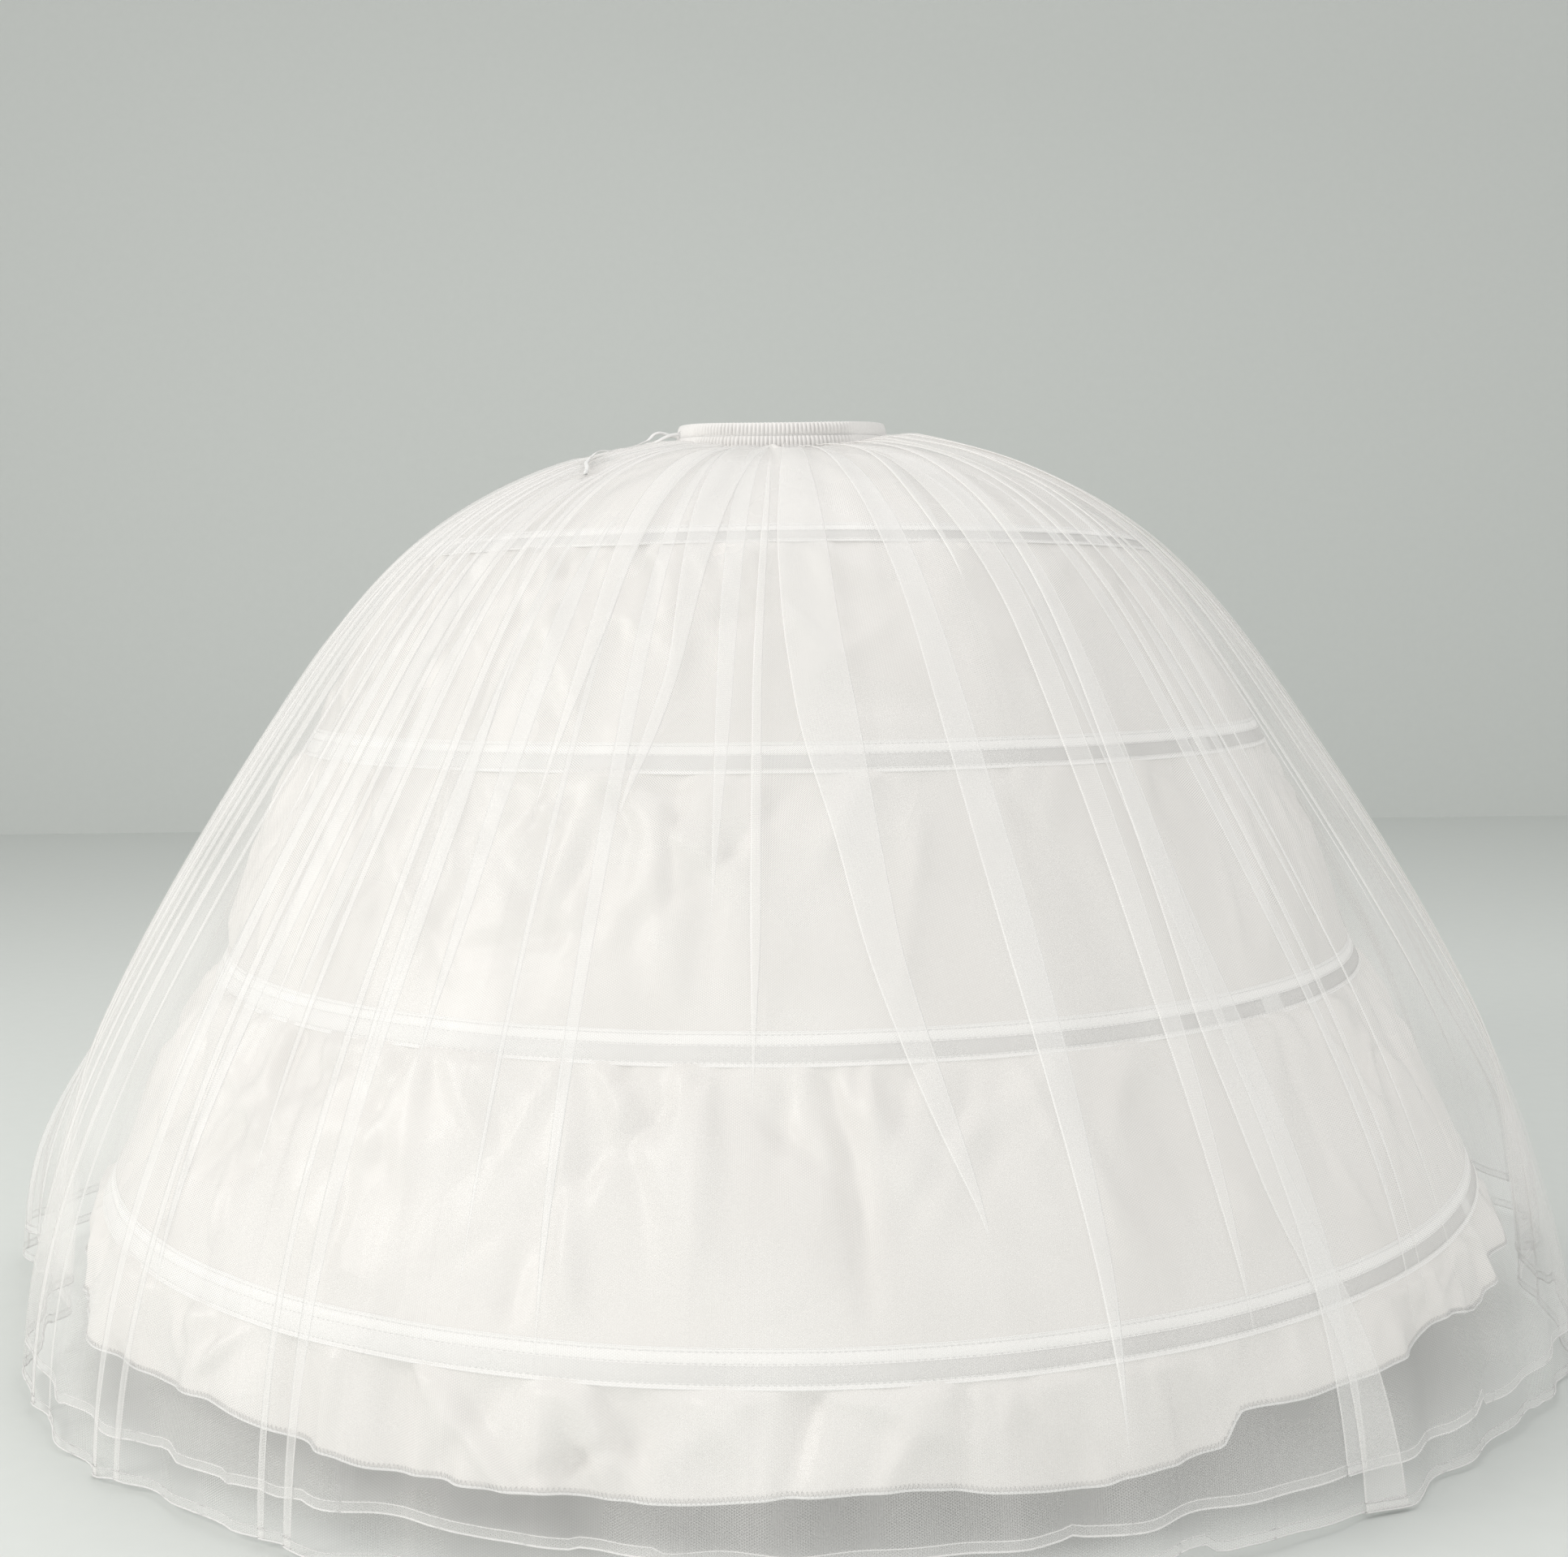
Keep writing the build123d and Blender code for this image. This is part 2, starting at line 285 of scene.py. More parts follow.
lining_cloth = satin(
    "lining_satin", (0.83, 0.805, 0.775, 1.0), (0.77, 0.745, 0.715, 1.0), 0.30, 0.0012, 0.013)
band_cloth = satin("waistband_satin", (0.84, 0.83, 0.815, 1.0), (0.79, 0.78, 0.765, 1.0), 0.5, 0.0004)
# The tape over the bones covers less towards +X, away from the key light, so the bone shows darker on that
# side: painted shade
casing_cloth = satin(
    "casing_tape", (0.94, 0.93, 0.91, 1.0), (0.90, 0.89, 0.87, 1.0), 0.55, 0.0004, clear=(0.93, 0.45))
piping_cloth = satin("casing_edge", (0.95, 0.94, 0.925, 1.0), (0.92, 0.91, 0.895, 1.0), 0.4, 0.0003)
# The second colour of each net is a painted highlight along its creases and rolled hem
outer_net = tulle("outer_net", (0.93, 0.92, 0.905, 1.0), (0.99, 0.98, 0.965, 1.0), 0.15, 0.27)
inner_net = tulle("inner_net", (0.92, 0.915, 0.905, 1.0), (0.99, 0.98, 0.965, 1.0), 0.13, 0.24)
hem_thread = spun("hem_thread", (0.96, 0.96, 0.95, 1.0), 0.5, 0.0012, 0.9)
seam_thread = spun("seam_thread", (0.95, 0.95, 0.94, 1.0), 0.55, 0.0010)
string_tape = spun("drawstring_tape", (0.88, 0.88, 0.87, 1.0), 0.6, 0.0016)
braid = spun("elastic_braid", (0.86, 0.86, 0.85, 1.0), 0.7, 0.0020)
bone_steel = steel("spring_steel")
sleeve_plastic = moulded("connector_plastic", (0.90, 0.90, 0.88, 1.0))


# ------------------------------------------------------------------ mesh helpers
PROFILE_LEVELS = 160
NORMAL_REACH = 0.004


def link_mesh(name, corners, faces, material):
    """A mesh piece that rides on the one body."""
    mesh = bpy.data.meshes.new(name)
    mesh.from_pydata(corners, [], faces)
    mesh.materials.append(material)
    mesh.polygons.foreach_set("use_smooth", [True] * len(mesh.polygons))
    mesh.update()
    piece = bpy.data.objects.new(name, mesh)
    scene.collection.objects.link(piece)
    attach(piece, "root")
    return piece


def lattice(name, points, material, uv, edge=None):
    """A grid of quads all the way round. points is rows x columns x 3, and uv has a pair for each."""
    rows, columns = points.shape[:2]
    across = np.arange(columns)
    right = (across + 1) % columns
    down = np.arange(rows - 1)[:, None] * columns
    quads = np.stack([down + across, down + columns + across, down + columns + right, down + right], -1)
    piece = link_mesh(name, points.reshape(-1, 3).tolist(), quads.reshape(-1, 4).tolist(), material)
    mesh = piece.data
    spots = np.empty(len(mesh.loops), np.int32)
    mesh.loops.foreach_get("vertex_index", spots)
    flat = uv.reshape(-1, 2)[spots]
    layer = mesh.uv_layers.new(name="cloth")
    layer.data.foreach_set("uv", flat.astype(np.float32).ravel())
    if edge is not None:
        marks = mesh.attributes.new("edge", "FLOAT", "POINT")
        marks.data.foreach_set("value", edge.astype(np.float32).ravel())
    return piece


def cloth_map(along, down, shape):
    """Each point's place on the flat cloth: a value for each column, and one for each row."""
    return np.stack([np.broadcast_to(along, shape), np.broadcast_to(down[:, None], shape)], -1)


def ring_faces(count, sides, closed=False):
    """Faces that join rings of points in order, with a cap at each end of an open run."""
    ring = np.arange(count if closed else count - 1)[:, None] * sides
    following = (ring + sides) % (count * sides)
    around = np.arange(sides)
    beside = (around + 1) % sides
    quads = np.stack([ring + around, ring + beside, following + beside, following + around], -1)
    faces = quads.reshape(-1, 4).tolist()
    if not closed:
        faces += [list(range(sides))[::-1], list(range((count - 1) * sides, count * sides))]
    return faces


def tube(name, line, radii, material, sides=6, closed=False):
    """A round thread along a line of points, with a radius for each."""
    line = np.asarray(line, float)
    count = len(line)
    if closed:
        heading = np.roll(line, -1, 0) - np.roll(line, 1, 0)
    else:
        heading = np.gradient(line, axis=0)
    heading /= np.linalg.norm(heading, axis=1)[:, None] + 1e-12
    away = line * [1, 1, 0]
    away /= np.linalg.norm(away, axis=1)[:, None] + 1e-12
    side = np.cross(heading, away)
    side /= np.linalg.norm(side, axis=1)[:, None] + 1e-12
    up = np.cross(side, heading)
    turn = np.linspace(0, 2 * math.pi, sides, endpoint=False)
    ring = side[:, None] * np.cos(turn)[None, :, None] + up[:, None] * np.sin(turn)[None, :, None]
    points = line[:, None] + ring * np.broadcast_to(radii, count)[:, None, None]
    faces = ring_faces(count, sides, closed)
    return link_mesh(name, points.reshape(-1, 3).tolist(), faces, material)


def turned(radius, azimuth, drop):
    """Points at a radius, an azimuth in degrees and a drop."""
    angle = np.radians(azimuth)
    return np.stack([radius * np.sin(angle), -radius * np.cos(angle), -drop * np.ones_like(angle)], -1)


def smooth(low, high, value):
    """0 below low, 1 above high, and an even curve between."""
    share = np.clip((value - low) / (high - low), 0, 1)
    return share * share * (3 - 2 * share)


def hump(value, middle, width):
    """A bell curve of height 1."""
    return np.exp(-(((value - middle) / width) ** 2))


def corners_of(mesh):
    """A mesh's corners, as an array."""
    spots = np.empty(len(mesh.vertices) * 3)
    mesh.vertices.foreach_get("co", spots)
    return spots.reshape(-1, 3)


def face_profile(name):
    """Outer face of a turned CAD solid: distance down the slope, radius and drop.

    The levels of the net are closer together at the top, where its shoulder bends most.
    """
    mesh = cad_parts[name].data
    picked = []
    for polygon in mesh.polygons:
        lean = polygon.normal.x * polygon.center.x + polygon.normal.y * polygon.center.y
        if lean > 0 and polygon.normal.z > -0.01:
            picked.extend(polygon.vertices)
    spots = corners_of(mesh)[np.unique(picked)]
    pairs = np.stack([-spots[:, 2], np.hypot(spots[:, 0], spots[:, 1])], 1)
    pairs = pairs[np.argsort(pairs[:, 0])]
    crowding = 1.8 if name.startswith("tulle") else 1.0
    levels = pairs[0, 0] + (pairs[-1, 0] - pairs[0, 0]) * np.linspace(0, 1, PROFILE_LEVELS) ** crowding
    radii = np.interp(levels, pairs[:, 0], pairs[:, 1])
    slope = np.concatenate([[0], np.cumsum(np.hypot(np.diff(levels), np.diff(radii)))])
    return slope, radii, levels


def section_at(profile, lengths):
    """Radius, drop and outward normal (radial, upward) at lengths down a slope."""
    slope, radii, levels = profile
    radius = np.interp(lengths, slope, radii)
    drop = np.interp(lengths, slope, levels)
    ahead = np.clip(lengths + NORMAL_REACH, 0, slope[-1])
    behind = np.clip(lengths - NORMAL_REACH, 0, slope[-1])
    run = np.interp(ahead, slope, radii) - np.interp(behind, slope, radii)
    fall = np.interp(ahead, slope, levels) - np.interp(behind, slope, levels)
    size = np.hypot(run, fall)
    return radius, drop, fall / size, run / size


# ------------------------------------------------------------------ drawstring, first of all
# The same routes as the two free ends in the construction model.
FRONT_END = (
    (-0.1102, -0.0096, -0.0070), (-0.1190, -0.0104, -0.0070), (-0.1265, -0.0125, -0.0045),
    (-0.1330, -0.0165, -0.0032), (-0.1385, -0.0220, -0.0060), (-0.1415, -0.0280, -0.0105),
    (-0.1440, -0.0345, -0.0140), (-0.1475, -0.0410, -0.0160), (-0.1530, -0.0475, -0.0195),
    (-0.1610, -0.0525, -0.0230), (-0.1710, -0.0560, -0.0255), (-0.1815, -0.0575, -0.0272),
    (-0.1905, -0.0575, -0.0260), (-0.1975, -0.0605, -0.0285), (-0.2015, -0.0680, -0.0340),
    (-0.2030, -0.0790, -0.0360), (-0.2020, -0.0940, -0.0375), (-0.1990, -0.1120, -0.0395),
    (-0.1975, -0.1310, -0.0426), (-0.1980, -0.1500, -0.0468), (-0.1965, -0.1690, -0.0508),
    (-0.1935, -0.1875, -0.0549), (-0.1920, -0.2060, -0.0602), (-0.1915, -0.2230, -0.0659),
)
BACK_END = (
    (-0.1058, -0.0323, -0.0070), (-0.1146, -0.0350, -0.0075), (-0.1230, -0.0385, -0.0100),
    (-0.1310, -0.0415, -0.0145), (-0.1385, -0.0415, -0.0185), (-0.1455, -0.0375, -0.0202),
    (-0.1505, -0.0305, -0.0206), (-0.1550, -0.0220, -0.0210), (-0.1610, -0.0135, -0.0220),
    (-0.1695, -0.0060, -0.0237), (-0.1795, 0.0005, -0.0259), (-0.1900, 0.0080, -0.0285),
    (-0.2000, 0.0180, -0.0313), (-0.2085, 0.0300, -0.0342), (-0.2160, 0.0435, -0.0371),
    (-0.2245, 0.0560, -0.0408), (-0.2350, 0.0665, -0.0453), (-0.2475, 0.0745, -0.0505),
    (-0.2610, 0.0800, -0.0565), (-0.2740, 0.0845, -0.0624),
)
TAPE_WIDTH = 0.004
TAPE_THICKNESS = 0.0012
# The way the tape faces: along the band and upwards in its loop, outwards and upwards on the skirt
LOOP_FACE = (0.85, 0.4)
LYING_FACE = (0.32, 0.95)
CHAMFER = 0.86


def route_line(route):
    """Points along the smooth spline that the route's points steer."""
    curve = bpy.data.curves.new("route", "CURVE")
    curve.dimensions = "3D"
    spline = curve.splines.new("NURBS")
    spline.points.add(len(route) - 1)
    for point, spot in zip(spline.points, route):
        point.co = (*spot, 1.0)
    spline.order_u = 3
    spline.use_endpoint_u = True
    spline.resolution_u = 8
    holder = bpy.data.objects.new("route", curve)
    scene.collection.objects.link(holder)
    mesh = bpy.data.meshes.new_from_object(holder)
    line = [Vector(v.co) for v in mesh.vertices]
    bpy.data.objects.remove(holder)
    bpy.data.meshes.remove(mesh)
    return np.array(line)


def tape_piece(name, route, replaced):
    """A flat tape along a route, lying on the shoulder of the skirt once it is past its loop."""
    line = route_line(route)
    heading = np.gradient(line, axis=0)
    heading /= np.linalg.norm(heading, axis=1)[:, None]
    radial = line * [1, 1, 0]
    radial /= np.linalg.norm(radial, axis=1)[:, None]
    upward = np.array([0, 0, 1.0])
    lying = radial * LYING_FACE[0] + upward * LYING_FACE[1]
    standing = np.cross(upward, radial) * LOOP_FACE[0] + upward * LOOP_FACE[1]
    share = smooth(0.0, 0.35, np.linspace(0, 1, len(line)))[:, None]
    face = (1 - share) * standing + share * lying
    face -= heading * (face * heading).sum(1)[:, None]
    face /= np.linalg.norm(face, axis=1)[:, None]
    side = np.cross(heading, face)
    half, thick = TAPE_WIDTH / 2, TAPE_THICKNESS / 2
    flat = half * CHAMFER
    outline = np.array((
        (-half, -thick / 2), (-half, thick / 2), (-flat, thick), (flat, thick),
        (half, thick / 2), (half, -thick / 2), (flat, -thick), (-flat, -thick)))
    points = line[:, None] + side[:, None] * outline[None, :, :1] + face[:, None] * outline[None, :, 1:]
    faces = ring_faces(len(line), len(outline))
    piece = link_mesh(name, points.reshape(-1, 3).tolist(), faces, string_tape)
    # The cut end, folded over and stitched
    last = line[-4:]
    tip = tube(name + "_tip", last, [0.0021, 0.0023, 0.0023, 0.0019], seam_thread, 10)
    tip.parent = piece
    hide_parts(replaced)


tape_piece("drawstring_front_tape", FRONT_END, "drawstring_front_end")
tape_piece("drawstring_back_tape", BACK_END, "drawstring_back_end")

# ------------------------------------------------------------------ lining
HOOP_CASINGS = [f"hoop_casing_{number}" for number in range(1, 5)]
CREASE_LIMIT = 0.012
DROOP_REACH = 0.07
YOKE_SINK = 0.002
SHOULDER_DIP = 0.0048
GATHER_DEPTH = 0.0018
GATHER_REACH = 0.035
SWELL_DEPTH = 0.0012


def whole_turn(count):
    """Evenly spaced azimuths all the way round."""
    return np.linspace(-180, 180, count, endpoint=False)


def waist_droop(azimuths):
    """How far the waist dips at the front and back, worn, and how far it rises at the sides."""
    return -0.0009 - 0.0037 * np.cos(2 * np.radians(azimuths))


def front_and_back(azimuth):
    """1 at the middle of the front and of the back, 0 at the sides."""
    return (0.5 + 0.5 * np.cos(2 * np.radians(azimuth))) ** 0.8


def near_waist(lengths):
    """1 at the waistband, falling to 0 further down the slope."""
    return np.exp(-((lengths / 0.16) ** 2))


def shoulder_dip(azimuths, lengths):
    """How far the cloth falls away just below the waistband, at the front and back."""
    just_below = smooth(0, 0.014, lengths) * np.exp(-((lengths / 0.11) ** 2))
    return SHOULDER_DIP * front_and_back(azimuths) * just_below


def creases(azimuths, lengths, reach, count, seed, high=0.35):
    """Heights of soft creases in a strip of satin, most of them just below its upper edge.

    reach is the strip's mean radius and its length down the slope.
    """
    chance = np.random.default_rng(seed)
    radius, total = reach
    height = np.zeros((len(lengths), len(azimuths)))
    for _ in range(count):
        middle = chance.uniform(-180, 180)
        depth = total * chance.beta(1.0, 2.6) * (1 if chance.random() < 0.85 else 2.2)
        tilt = chance.normal(0, 0.55)
        long = chance.uniform(0.022, 0.100)
        wide = chance.uniform(0.007, 0.017)
        rise = chance.uniform(0.5, 1.0) * high * 0.01 * (1 if chance.random() < 0.62 else -0.8)
        rise *= 1 - 0.55 * smooth(2, 16, middle) * (1 - smooth(85, 100, middle))
        near = (azimuths - middle + 180) % 360 - 180
        x = np.radians(near) * radius
        pick = np.abs(x) < 3 * (long + wide)
        u = x[None, pick]
        v = lengths[:, None] - depth
        along = v * math.cos(tilt) + u * math.sin(tilt)
        across = u * math.cos(tilt) - v * math.sin(tilt)
        height[:, pick] += rise * np.exp(-((along / long) ** 2) - ((across / wide) ** 2))
    return height


def lining_piece(name, rows, columns, seed, count, high, hem=None):
    """A tier of satin sewn at its edges to the casings, with its points, radii and slope length."""
    around = whole_turn(columns)
    turn = np.radians(around)
    profile = face_profile(name)
    total = profile[0][-1]
    lengths = np.linspace(0, total, rows)
    radius, drop, out_r, out_z = section_at(profile, lengths)
    held = smooth(0, 0.012, lengths) * (1 if hem else smooth(0, 0.03, total - lengths))
    height = creases(around, lengths, (radius.mean(), total), count, seed, high) * held[:, None]
    # Short gathers where the tier is eased onto the tape above it
    bunch = np.zeros(columns)
    chance = np.random.default_rng(seed + 50)
    for number in (47, 83, 131):
        bunch += np.sin(turn * number + chance.uniform(0, 6.28)) / 3
    patch = 0.35 + 0.65 * (0.5 + 0.5 * np.sin(turn * 5 + seed))
    gathered = GATHER_DEPTH * np.exp(-lengths / GATHER_REACH) * smooth(0, 0.01, lengths)
    height += (bunch * patch)[None] * gathered[:, None]
    swell = np.sin(turn * 7 + seed) + np.sin(turn * 11 + 2 * seed)
    height += swell[None] * (SWELL_DEPTH * held)[:, None]
    height = CREASE_LIMIT * np.tanh(height / CREASE_LIMIT)
    levels = np.broadcast_to(drop[:, None], height.shape).copy()
    if name == "lining_yoke":
        levels -= waist_droop(around)[None] * np.exp(-lengths / DROOP_REACH)[:, None]
        levels += YOKE_SINK * front_and_back(around)[None] * near_waist(lengths)[:, None]
        levels += shoulder_dip(around[None], lengths[:, None])
    if hem:
        share = smooth(0, total, lengths)[:, None]
        swing, lift = hem(around)
        height += share * swing[None]
        levels -= share * lift[None]
    radii = radius[:, None] + height * out_r[:, None]
    levels = levels - height * out_z[:, None]
    points = turned(radii, np.broadcast_to(around, radii.shape), levels)
    cloth = cloth_map(turn * radius.mean(), lengths, radii.shape)
    piece = lattice(name + "_cloth", points, lining_cloth, cloth)
    return piece, points, radius, total


def flounce_hem(azimuths):
    """Waves of the loose lower edge: how far out it swings, and how far it is hitched up."""
    angle = np.radians(azimuths)
    swing = 0.006 * np.sin(11 * angle + 0.6) + 0.005 * np.sin(19 * angle + 2.1) + 0.003 * np.sin(37 * angle)
    lift = 0.004 + 0.004 * np.sin(9 * angle + 1.2) + 0.003 * np.sin(16 * angle + 0.3)
    lift += 0.024 * smooth(27.0, 28.6, azimuths) * (1 - smooth(95, 140, azimuths))
    lift += 0.006 * smooth(30, 60, azimuths) * (1 - smooth(80, 120, azimuths)) * np.sin(24 * angle)
    lift += 0.006 * hump(azimuths, -58, 12)
    return swing, lift


# Name, rows, columns, seed, how many creases, how strong they are, and the hem of the last
TIERS = (
    ("lining_yoke", 20, 520, 3, 90, 0.50, None),
    ("lining_tier_2", 36, 640, 5, 210, 0.92, None),
    ("lining_tier_3", 40, 800, 8, 260, 1.20, None),
    ("lining_tier_4", 40, 900, 13, 300, 1.40, None),
    ("lining_flounce", 22, 900, 21, 260, 1.50, flounce_hem),
)
WHIP_STITCHES = 1300


def resampled(line, count):
    """Points evenly spread over the columns of a closed line."""
    spots = np.linspace(0, len(line), count, endpoint=False)
    known = np.arange(len(line) + 1)
    return np.stack([np.interp(spots, known, np.append(axis, axis[0])) for axis in line.T], 1)


for tier_name, rows, columns, seed, count, high, hem in TIERS:
    cloth_piece, cloth_points, tier_radii, tier_length = lining_piece(
        tier_name, rows, columns, seed, count, high, hem)
    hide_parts(tier_name)
    if hem:
        # Overlocked edge: a cord of thread with a whipped zigzag over it
        rim = cloth_points[-1]
        rim_tube = tube("lining_hem_overlock", rim, 0.0013, seam_thread, 5, True)
        whip = resampled(rim, 2 * WHIP_STITCHES)
        upper = resampled(cloth_points[-2], 2 * WHIP_STITCHES)
        lower_end = (np.arange(2 * WHIP_STITCHES) % 2 == 0)[:, None]
        whip = np.where(lower_end, whip, whip + (upper - whip) * 1.1)
        away = whip * [1, 1, 0]
        whip = whip + away / np.linalg.norm(away, axis=1)[:, None] * 0.0009
        whip_tube = tube("lining_hem_whipping", whip, 0.0004, seam_thread, 3, True)

# ------------------------------------------------------------------ casings, bones and joints
CASING_COLUMNS = 480
STITCH_PITCH = 0.0052
STITCH_RADIUS = 0.00028
# How far the rows of stitches wander up and down the slope
WANDER = 0.0003
# The tape's section in millimetres: down the slope from its middle, out from the construction
# model's outer face, and how loosely it lies. The bone's pocket is between the lower two seams.
CASING_SKIN = (
    (-12.7, -1.42, 0.0), (-12.4, -1.12, 0.1), (-11.9, -1.00, 0.3), (-10.4, -1.02, 0.2), (-10.0, -1.28, 0.0),
    (-9.6, -1.00, 0.3), (-6.0, -0.85, 1.0), (-2.6, -0.95, 0.4), (-2.1, -1.20, 0.0), (-1.7, -1.00, 0.0),
    (-1.2, -0.62, 0.1), (-0.8, -0.44, 0.1), (5.1, -0.34, 0.2), (10.9, -0.44, 0.1), (11.3, -0.62, 0.0),
    (11.7, -1.00, 0.0), (12.0, -1.22, 0.0), (12.3, -1.02, 0.1), (14.0, -0.98, 0.2), (14.5, -1.05, 0.1),
)
CASING_LINING_SIDE = (
    (14.4, -1.34, 0.0), (12.1, -1.34, 0.0), (12.0, -3.20, 0.0), (11.0, -3.60, 0.0), (-1.0, -3.60, 0.0),
    (-2.2, -2.60, 0.0), (-12.0, -2.60, 0.0), (-12.2, -1.50, 0.0),
)
# The rolled edges and the seams: place down the slope and outwards, in millimetres. An edge has its
# own radius too, in metres.
CASING_EDGES = (("edge", 14.7, -0.85, 0.0010), ("top_edge", -12.6, -1.05, 0.0005))
CASING_SEAMS = (
    ("upper_stitching", -10.0, -0.95), ("middle_stitching", -2.1, -0.90), ("lower_stitching", 12.0, -0.90))
casing_round = whole_turn(CASING_COLUMNS)


def casing_frame(name):
    """Middle of a casing's outer face, as radius and drop, and the direction down its slope."""
    spots = corners_of(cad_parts[name].data)
    corners = np.stack([np.hypot(spots[:, 0], spots[:, 1]), -spots[:, 2]], 1)
    upper = corners[corners[:, 1].argmin()]
    lower = corners[corners[:, 0].argmax()]
    run = lower - upper
    return (upper + lower) / 2, run / np.linalg.norm(run)


def on_casing(middle, lean, along_slope, outwards):
    """Radius and drop of a place down a casing's slope and out from its face."""
    radius = middle[0] + along_slope * lean[0] + outwards * lean[1]
    drop = middle[1] + along_slope * lean[1] - outwards * lean[0]
    return radius, drop


def finish_cad(name, material):
    """Give a construction solid that stays in view its material."""
    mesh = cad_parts[name].data
    mesh.materials.clear()
    mesh.materials.append(material)


for number, name in enumerate(HOOP_CASINGS, 1):
    middle, lean = casing_frame(name)
    skin = np.array(CASING_SKIN + CASING_LINING_SIDE)
    rows_down, rows_out, slack = skin[:, 0] / 1000, skin[:, 1] / 1000, skin[:, 2]
    chance = np.random.default_rng(60 + number)
    angle = np.radians(casing_round)
    ripple = sum(np.sin(angle * k + chance.uniform(0, 6.28)) for k in (31, 57, 96)) / 3
    pull = sum(np.sin(angle * k + chance.uniform(0, 6.28)) for k in (9, 17, 29)) / 3
    loose = 0.5 + 0.5 * np.sin(angle * 3 + chance.uniform(0, 6.28))
    along_slope = rows_down[:, None] + WANDER * pull[None]
    outwards = rows_out[:, None] + slack[:, None] * (0.0006 * loose * ripple + 0.0002)[None]
    around_r, around_d = on_casing(middle, lean, along_slope, outwards)
    points = turned(around_r, np.broadcast_to(casing_round, around_r.shape), around_d)
    points = np.concatenate([points, points[:1]])
    cloth = cloth_map(angle * middle[0], np.linspace(0, 0.05, len(points)), points.shape[:2])
    pocket = (rows_down > -0.001) & (rows_down < 0.0111) & (rows_out > -0.0005)
    pocket = np.broadcast_to(np.append(pocket, pocket[0])[:, None].astype(float), points.shape[:2])
    tape = lattice(f"{name}_tape", points, casing_cloth, cloth, edge=pocket)
    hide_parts(name)
    for label, row, rise, thick in CASING_EDGES:
        line_r, line_d = on_casing(middle, lean, row / 1000 + WANDER * pull, rise / 1000)
        line = turned(line_r, casing_round, line_d)
        tube(f"{name}_{label}", line, thick, piping_cloth, 5, True)
    stitches = int(2 * math.pi * middle[0] / STITCH_PITCH) * 2
    spots = whole_turn(stitches)
    dip = np.where(np.arange(stitches) % 2 == 0, 0.00025, -0.00065)
    shift = WANDER * np.interp(spots, np.append(casing_round, 180), np.append(pull, pull[0]))
    for label, row, rise in CASING_SEAMS:
        line_r, line_d = on_casing(middle, lean, row / 1000 + shift, rise / 1000 + dip)
        line = turned(line_r, spots, line_d)
        tube(f"{name}_{label}", line, STITCH_RADIUS, seam_thread, 3, True)
    finish_cad(f"hoop_bone_{number}", bone_steel)
    finish_cad(f"hoop_connector_{number}", sleeve_plastic)

finish_cad("waist_elastic", braid)
finish_cad("drawstring", string_tape)

# ------------------------------------------------------------------ waistband
low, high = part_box("waistband_casing")
BAND_HEIGHT = high.z - low.z
BAND_IN = 0.108
BAND_TOP = BAND_IN + 0.0046
BAND_FLARE = high.x - BAND_TOP
EYELET_OUT = 0.1145
EYELET_DROP = 0.0070
EYELET_RADIUS = 0.0030
RIBS = 164
RIB_DEPTH = 0.0028
band_round = whole_turn(RIBS * 9)
angle = np.radians(band_round)
# Tight ribs across the front and the back, nearly flat between them
gather = 0.16 + 0.84 * smooth(-72, -34, band_round) * (1 - smooth(34, 44, band_round))
gather = np.maximum(gather, 0.7 * smooth(95, 120, np.abs(band_round)))
chance = np.random.default_rng(4)
wander = np.cumsum(chance.normal(0, 0.035, len(band_round)))
wander -= np.linspace(wander[0], wander[-1], len(wander))
droop = waist_droop(band_round)
down = np.concatenate([np.linspace(0, 0.06, 3), np.linspace(0.14, 0.40, 4), np.linspace(0.46, 0.54, 3),
                       np.linspace(0.60, 0.90, 4), np.linspace(0.95, 1.0, 3)])


def ribs(offset):
    """Rounded ribs with sharp valleys between them, 1 at the crown and 0 in the valley."""
    return np.abs(np.sin(angle * RIBS / 2 + wander * 0.8 + offset)) ** 0.7


pleat_a = ribs(0.0)
pleat_b = ribs(0.45 + 0.25 * np.sin(angle * 9))
upper = np.sin(np.clip(down / 0.5, 0, 1) * math.pi) ** 0.5
lower_half = np.sin(np.clip((down - 0.5) / 0.5, 0, 1) * math.pi) ** 0.5
rib = (pleat_a[None] * upper[:, None] + pleat_b[None] * lower_half[:, None]) * RIB_DEPTH * gather[None]
rib += (0.0004 * (upper + lower_half))[:, None] - 0.0008 * gather[None]
frill = 0.0010 * (pleat_b - 0.5) * gather
outer_r = BAND_TOP + BAND_FLARE * down[:, None] + rib - 0.0006
outer_r += frill[None] * smooth(0.9, 1.0, down)[:, None]
outer_d = BAND_HEIGHT * down[:, None] - droop[None]
outer_d += 0.0007 * ((pleat_a - 0.5) * gather)[None] * (down < 0.05)[:, None]
inner_r = np.full((4, len(angle)), BAND_IN) + 0.0006 * (pleat_a * gather)[None]
inner_d = BAND_HEIGHT * np.linspace(1, 0, 4)[:, None] - droop[None]
band_r = np.concatenate([outer_r, inner_r, outer_r[:1]])
band_d = np.concatenate([outer_d, inner_d, outer_d[:1]])
points = turned(band_r, np.broadcast_to(band_round, band_r.shape), band_d)
cloth = cloth_map(angle * 0.3, np.linspace(0, 0.06, len(band_r)), band_r.shape)
band = lattice("waistband_shirring", points, band_cloth, cloth)
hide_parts("waistband_casing")
spots = whole_turn(2 * RIBS)
dip = np.where(np.arange(2 * RIBS) % 2 == 0, 0.0003, -0.0004)
